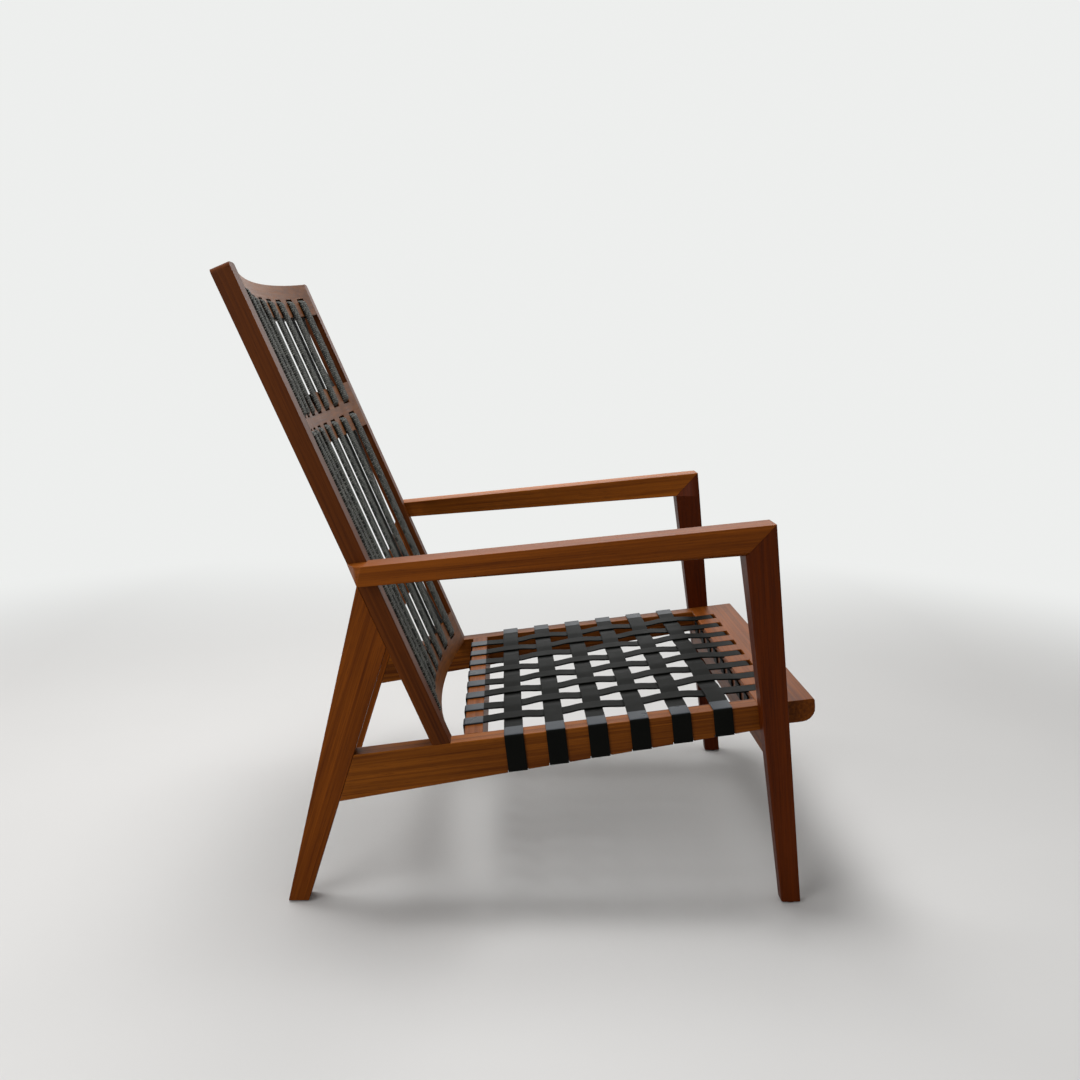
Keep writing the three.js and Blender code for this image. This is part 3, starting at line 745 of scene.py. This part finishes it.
def weave(places, half_width, base, rise, first_over, step):
    """Points that rise over one crossing strap and dip under the next."""
    points = []
    for index, place in enumerate(places):
        over = 1 if (index % 2 == 0) == first_over else -1
        near = Vector((place - half_width, base + over * rise))
        far = Vector((place + half_width, base + over * rise))
        if points:
            start = points[-1]
            steps = math.ceil((near.x - start.x) / step)
            for part in range(1, steps):
                share = part / steps
                x = start.x + (near.x - start.x) * share
                y = start.y + (near.y - start.y) * eased(share)
                points.append(Vector((x, y)))
        points += [near, far]
    return points


# Operators

class CHAIR_OT_side_frames(bpy.types.Operator):
    """Shapes the side rails, stiles, legs and arms"""

    bl_idname = "chair.side_frames"
    bl_label = "Side frames"

    def execute(self, context):
        timber = context.scene.chair_timber
        for number, hand in enumerate(SIDES):
            outward = 1 if hand == "left" else -1
            outwards = outward * Y_AXIS
            rearwards = Vector((ARM_REAR_FACET.x, outward * ARM_REAR_FACET.y, 0))
            seed = 1 + 7 * number
            timber_piece(
                f"side_rail_{hand}", SEAT_FORWARD, seed, shade=SHADES["side_rail"], figure=SIDE_RAIL_FIGURE
            )

            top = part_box(f"back_stile_{hand}")[1].z - STILE_TOP

            def stile_top(edge):
                return edge_middle(edge).z > top and abs(edge_heading(edge).y) < 0.2

            rounding = [(timber.top_radius, 5, stile_top)]
            timber_piece(f"back_stile_{hand}", BACK_UP, seed + 1, rounding, SHADES["back_stile"])
            timber_piece(f"rear_leg_{hand}", REAR_LEG_UP, seed + 2, shade=SHADES["rear_leg"])

            def arm_underside(edge):
                """The outer lower edge and the edges of the facet at the rear end."""
                lower = beside(edge, -Z_AXIS, 0.9) and beside(edge, outwards, 0.9)
                behind = beside(edge, rearwards, 0.97) and beside(edge, outwards, 0.95)
                return lower or behind

            node = f"arm_{hand}"
            low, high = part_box(node)
            arm_forward = Vector((high.x - low.x, 0, high.z - low.z - ARM_DEPTH)).normalized()
            rounding = [(timber.arm_radius, 6, arm_underside)]
            timber_piece(node, arm_forward, seed + 3, rounding, SHADES[node])

            def leg_rear(edge):
                return beside(edge, -X_AXIS, 0.8) and beside(edge, outwards, 0.8)

            node = f"front_leg_{hand}"
            low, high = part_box(node)
            leg_up = Vector((low.x - high.x + LEG_WIDTH, 0, high.z - low.z)).normalized()
            rounding = [(timber.leg_radius, 5, leg_rear)]
            timber_piece(node, leg_up, seed + 4, rounding, SHADES[node])
        return {"FINISHED"}


class CHAIR_OT_seat_rails(bpy.types.Operator):
    """Shapes the front rail, the rear rail and the stretcher"""

    bl_idname = "chair.seat_rails"
    bl_label = "Seat rails"

    def execute(self, context):
        timber = context.scene.chair_timber
        straps = context.scene.chair_straps
        turned = SEAT_FRAME.inverted()
        wall = seat_span("seat_front_rail")[0].x + straps.slot_setback

        def slot_edge(edge):
            """The edge that a long strap bends over."""
            middle = turned @ edge_middle(edge)
            in_wall = abs(middle.x - wall) < JOINT_REACH and abs(edge_heading(edge).y) > 0.99
            return in_wall and middle.z > -timber.slot_radius

        for seed, node in enumerate(RAILS, start=21):
            rounding = [(timber.slot_radius, 6, slot_edge)] if node == "seat_front_rail" else ()
            timber_piece(node, Y_AXIS, seed, rounding, figure=SEAT_RAIL_FIGURE)
        return {"FINISHED"}


class CHAIR_OT_back_rails(bpy.types.Operator):
    """Shapes the three bowed rails of the back"""

    bl_idname = "chair.back_rails"
    bl_label = "Back rails"

    def execute(self, context):
        for seed, node in enumerate(BACK_RAILS, start=36):
            timber_piece(node, Y_AXIS, seed, shade=SHADES["back_rail"], bowed=True)
        return {"FINISHED"}


class CHAIR_OT_cross_straps(bpy.types.Operator):
    """Makes the leather straps that cross the seat and turn under the side rails"""

    bl_idname = "chair.cross_straps"
    bl_label = "Cross straps"

    def execute(self, context):
        straps = context.scene.chair_straps
        leather = strap_leather()
        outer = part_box("side_rail_left")[1].y
        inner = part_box("side_rail_left")[0].y
        half = straps.thickness / 2
        level_over = straps.clearance + half
        rise = (straps.thickness + straps.weave_gap) / 2
        crossings = sorted(middle_of(f"long_strap_{number}", 1) for number in range(1, LONG_STRAPS + 1))
        for number in range(1, CROSS_STRAPS + 1):
            low, high = seat_span(f"cross_strap_{number}")
            below = low.z + half
            outside = outer + level_over
            start = [
                (-outer + straps.turn_under, below),
                (-outside, below),
                (-outside, level_over),
                (-inner, level_over),
                (-inner + straps.clearance, level_over),
            ]
            end = [(-y, z) for y, z in reversed(start)]
            radii = [straps.bend_radius] * 3
            over_right = bent(start, radii, BEND_STEPS)
            over_left = bent(end, radii, BEND_STEPS)
            middle = weave(crossings, (high.x - low.x) / 2, level_over, rise, number % 2 == 0, WEAVE_STEP)
            route = filled(over_right + middle + over_left, STRAP_STEP)
            centre = Matrix.Translation(((low.x + high.x) / 2, 0, 0))
            plane = SEAT_FRAME @ centre @ Matrix.Rotation(math.pi / 2, 4, "Z")

            def over_rail(point):
                return abs(point.x) >= inner and point.y > level_over - straps.clearance

            strap_piece(f"cross_strap_{number}", route, plane, high.x - low.x, leather, over_rail)
        return {"FINISHED"}


class CHAIR_OT_long_straps(bpy.types.Operator):
    """Makes the leather straps that run from the rear rail to the front rail"""

    bl_idname = "chair.long_straps"
    bl_label = "Long straps"

    def execute(self, context):
        straps = context.scene.chair_straps
        leather = strap_leather()
        rear_low, rear_high = seat_span("seat_rear_rail")
        front_low = seat_span("seat_front_rail")[0]
        half = straps.thickness / 2
        level_over = straps.clearance + half
        rise = (straps.thickness + straps.weave_gap) / 2
        over_edge = context.scene.chair_timber.slot_radius + level_over
        dive_radii = [over_edge, straps.bend_radius, straps.bend_radius]
        crossings = sorted(middle_of(f"cross_strap_{number}", 0) for number in range(1, CROSS_STRAPS + 1))
        dive = front_low.x + straps.slot_setback + level_over
        below = front_low.z - level_over
        tail = front_low.x - level_over
        start = [
            (rear_low.x - level_over, -straps.rear_drop),
            (rear_low.x - level_over, level_over),
            (rear_high.x, level_over),
            (rear_high.x + straps.clearance, level_over),
        ]
        end = [
            (front_low.x, -half),
            (dive, -half),
            (dive, below),
            (tail, below),
            (tail, -half - straps.tail_drop),
        ]
        over_rear = bent(start, [straps.bend_radius] * 2, BEND_STEPS)
        through_front = bent(end, dive_radii, BEND_STEPS)
        for number in range(1, LONG_STRAPS + 1):
            low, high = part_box(f"long_strap_{number}")
            middle = weave(crossings, (high.y - low.y) / 2, level_over, rise, number % 2 == 0, WEAVE_STEP)
            route = filled(over_rear + middle + through_front, STRAP_STEP)
            plane = SEAT_FRAME @ Matrix.Translation((0, (low.y + high.y) / 2, 0))

            def over_rail(point):
                return point.x <= rear_high.x and point.y > level_over - straps.clearance

            strap_piece(f"long_strap_{number}", route, plane, high.y - low.y, leather, over_rail)
        return {"FINISHED"}


class CHAIR_OT_back_bands(bpy.types.Operator):
    """Makes the braided bands, each a closed loop round two pins"""

    bl_idname = "chair.back_bands"
    bl_label = "Back bands"

    def execute(self, context):
        bands = context.scene.chair_bands
        braid = band_braid()
        for row in ("upper", "lower"):
            places = evenly(bands.outermost, -bands.outermost, BACK_BANDS)
            for number, place in enumerate(places, start=1):
                node = f"back_band_{row}_{number}"
                bow = -bands.bow * (1 - (place / bands.bow_half) ** 2)
                turn = -math.atan(2 * bands.bow * place / bands.bow_half**2)
                plane = BACK_FRAME @ Matrix.Translation((bow, place, 0)) @ Matrix.Rotation(turn, 4, "Z")
                turned = plane.inverted()
                corners = [turned @ vertex.co for vertex in NODES[node].data.vertices]
                reach = bands.loop_radius + bands.thickness / 2
                low_pin = min(corner.z for corner in corners) + reach
                high_pin = max(corner.z for corner in corners) - reach
                depth = max(corner.x for corner in corners) - reach
                above = low_pin + bands.thickness
                under = high_pin - bands.thickness
                seam = [corner.z for corner in corners if above < corner.z < under]

                def turn_round(pin, start):
                    """Half a turn round a pin."""
                    centre = Vector((depth, pin))
                    return [
                        centre + bands.loop_radius * Vector((math.cos(angle), math.sin(angle)))
                        for angle in evenly(start, start + math.pi, LOOP_POINTS)
                    ]

                back = depth - bands.loop_radius
                loop = [Vector((back, min(seam))), *turn_round(low_pin, math.pi), *turn_round(high_pin, 0)]
                route = filled([*loop, Vector((back, max(seam)))], bands.strand * math.sqrt(2) / 4)
                sag = bands.sag if number == 1 else 0
                for point in route:
                    if point.x < back + WELD and low_pin < point.y < high_pin:
                        point.x -= sag * math.sin(math.pi * (point.y - low_pin) / (high_pin - low_pin))
                band_piece(node, route, plane, braid)
        return {"FINISHED"}


class CHAIR_OT_small_parts(bpy.types.Operator):
    """Finishes the glides, the bolts and the dowels"""

    bl_idname = "chair.small_parts"
    bl_label = "Glides and fasteners"

    def execute(self, context):
        parts = context.scene.chair_small_parts
        nylon = moulded_nylon()
        steel = turned_steel()
        for number, hand in enumerate(SIDES):
            for name in ("leg_bolt", "stretcher_bolt", "arm_bolt"):
                finish_node(f"{name}_{hand}", steel)
            finish_node(f"rail_dowel_{hand}", walnut(f"walnut_rail_dowel_{hand}", X_AXIS, 41 + number))
            for name in ("front_glide", "rear_glide"):
                bm = merged_copy(f"{name}_{hand}")
                ease(bm, parts.glide_edge, 2)
                piece = shown(f"moulded_{name}_{hand}", bm, nylon, f"{name}_{hand}")
                keep_flats(piece)
        return {"FINISHED"}


class CHAIR_OT_stage(bpy.types.Operator):
    """Sets the floor, the backdrop, the lights and the camera"""

    bl_idname = "chair.stage"
    bl_label = "Studio"

    def execute(self, context):
        stage = context.scene.chair_stage
        self.sweep(stage)
        for name, (setting, size, place, target) in LAMPS.items():
            self.lamp(name, getattr(stage, setting), size, place, target)
        self.world(context, stage)
        self.camera(context, stage)
        context.scene.view_settings.view_transform = "Standard"
        return {"FINISHED"}

    def sweep(self, stage):
        """A floor that curves up into a backdrop."""
        bm = bmesh.new()
        start = [bm.verts.new((x, -stage.floor_front, 0)) for x in (-stage.half_width, stage.half_width)]
        line = [bm.edges.new(start)]

        def pushed(edges, offset):
            new = bmesh.ops.extrude_edge_only(bm, edges=edges)["geom"]
            moved = [part for part in new if isinstance(part, bmesh.types.BMVert)]
            bmesh.ops.translate(bm, vec=offset, verts=moved)
            return [part for part in new if isinstance(part, bmesh.types.BMEdge) and part.is_boundary]

        grown = pushed(line, (0, stage.floor_front + stage.floor_back, 0))
        line = [edge for edge in grown if min(vert.co.y for vert in edge.verts) > 0]
        spun = bmesh.ops.spin(
            bm, geom=line, cent=(0, stage.floor_back, stage.arc_radius), axis=(1, 0, 0), angle=math.pi / 2,
            steps=stage.arc_steps, use_merge=False, use_normal_flip=False, use_duplicate=False,
        )["geom_last"]
        line = [part for part in spun if isinstance(part, bmesh.types.BMEdge)]
        pushed(line, (0, 0, stage.wall_height))
        bmesh.ops.recalc_face_normals(bm, faces=bm.faces)
        mesh = bpy.data.meshes.new("sweep")
        bm.to_mesh(mesh)
        bm.free()
        mesh.shade_smooth()
        floor = bpy.data.objects.new("sweep", mesh)
        bpy.context.scene.collection.objects.link(floor)
        mesh.materials.append(self.paper(stage))

    def paper(self, stage):
        """Pale paper that takes shadows near the chair and fades into a plain backdrop further off."""
        material, tree = new_material("backdrop_paper")
        place = add(tree, "ShaderNodeTexCoord").outputs["Object"]
        mottle = noise(tree, place, 1.3, 3.0)
        low = tuple(0.97 * channel for channel in stage.floor)
        colour = ramp(tree, mottle, [(0.3, low), (0.7, tuple(stage.floor))])
        seen = pale_rays(tree)
        colour = blended(tree, "MIX", seen, (*stage.bounce, 1), colour)
        diffuse = add(tree, "ShaderNodeBsdfDiffuse", {"Color": colour}).outputs["BSDF"]
        plain = {"Color": (*stage.backdrop, 1), "Strength": 1.0}
        backdrop = add(tree, "ShaderNodeEmission", plain).outputs[0]
        depth = add(tree, "ShaderNodeSeparateXYZ", {"Vector": place}).outputs["Y"]
        distance = add(tree, "ShaderNodeVectorMath", {0: place}, operation="LENGTH").outputs["Value"]
        behind = level(tree, depth, 0.5, 2.4)
        around = level(tree, distance, 1.2, 2.6)
        for fade in (behind, around):
            fade.node.interpolation_type = "SMOOTHSTEP"
        share = maths(tree, "MULTIPLY", maths(tree, "MAXIMUM", behind, around), seen)
        mixed = add(tree, "ShaderNodeMixShader", {0: share, 1: diffuse, 2: backdrop}).outputs[0]
        add(tree, "ShaderNodeOutputMaterial", {"Surface": mixed})
        return material

    def lamp(self, name, power, size, place, target):
        light = bpy.data.lights.new(name, "AREA")
        light.energy = power
        light.shape = "SQUARE"
        light.size = size
        lamp = bpy.data.objects.new(name, light)
        lamp.visible_camera = False
        bpy.context.scene.collection.objects.link(lamp)
        lamp.location = place
        lamp.rotation_euler = (Vector(target) - Vector(place)).to_track_quat("-Z", "Y").to_euler()

    def world(self, context, stage):
        """Even ambient light, and a white surround for the camera and for reflections."""
        world = bpy.data.worlds.new("Studio")
        context.scene.world = world
        world.use_nodes = True
        tree = world.node_tree
        tree.nodes.clear()
        even = {"Color": (1, 1, 1, 1), "Strength": stage.world}
        pale = {"Color": (*stage.backdrop, 1), "Strength": 1.0}
        ambient = add(tree, "ShaderNodeBackground", even).outputs[0]
        surround = add(tree, "ShaderNodeBackground", pale).outputs[0]
        mixed = add(tree, "ShaderNodeMixShader", {0: pale_rays(tree), 1: ambient, 2: surround}).outputs[0]
        add(tree, "ShaderNodeOutputWorld", {"Surface": mixed})

    def camera(self, context, stage):
        data = bpy.data.cameras.new("Camera")
        data.lens = stage.focal_length
        data.sensor_width = 36
        data.clip_end = 60
        camera = bpy.data.objects.new("Camera", data)
        context.scene.collection.objects.link(camera)
        aim = Matrix.Rotation(stage.heading, 4, "Z") @ Matrix.Rotation(stage.tilt, 4, "X")
        camera.matrix_world = Matrix.Translation(CAMERA_PLACE) @ aim @ Matrix.Rotation(stage.roll, 4, "Z")
        context.scene.camera = camera


class CHAIR_PT_parts(bpy.types.Panel):
    """Lists the chair's operators and sizes"""

    bl_idname = "CHAIR_PT_parts"
    bl_label = "Lounge Chair"
    bl_space_type = "VIEW_3D"
    bl_region_type = "UI"
    bl_category = "Chair"

    def draw(self, context):
        for operator in OPERATORS:
            self.layout.operator(operator.bl_idname)
        for group_name in GROUPS:
            group = getattr(context.scene, group_name)
            box = self.layout.box()
            for size_name in group.bl_rna.properties.keys():
                if size_name not in ("rna_type", "name"):
                    box.prop(group, size_name)


GROUPS = {
    "chair_timber": ChairTimber,
    "chair_straps": ChairStraps,
    "chair_bands": ChairBands,
    "chair_small_parts": ChairSmallParts,
    "chair_stage": ChairStage,
}
OPERATORS = (
    CHAIR_OT_side_frames,
    CHAIR_OT_seat_rails,
    CHAIR_OT_back_rails,
    CHAIR_OT_cross_straps,
    CHAIR_OT_long_straps,
    CHAIR_OT_back_bands,
    CHAIR_OT_small_parts,
    CHAIR_OT_stage,
)


def register():
    for group_name, group in GROUPS.items():
        bpy.utils.register_class(group)
        setattr(bpy.types.Scene, group_name, PointerProperty(type=group))
    for operator in OPERATORS:
        bpy.utils.register_class(operator)
    bpy.utils.register_class(CHAIR_PT_parts)


def unregister():
    bpy.utils.unregister_class(CHAIR_PT_parts)
    for operator in reversed(OPERATORS):
        bpy.utils.unregister_class(operator)
    for group_name, group in reversed(GROUPS.items()):
        delattr(bpy.types.Scene, group_name)
        bpy.utils.unregister_class(group)


def main():
    register()
    bpy.ops.chair.side_frames()
    bpy.ops.chair.seat_rails()
    bpy.ops.chair.back_rails()
    bpy.ops.chair.cross_straps()
    bpy.ops.chair.long_straps()
    bpy.ops.chair.back_bands()
    bpy.ops.chair.small_parts()
    bpy.ops.chair.stage()


if __name__ == "__main__":
    main()
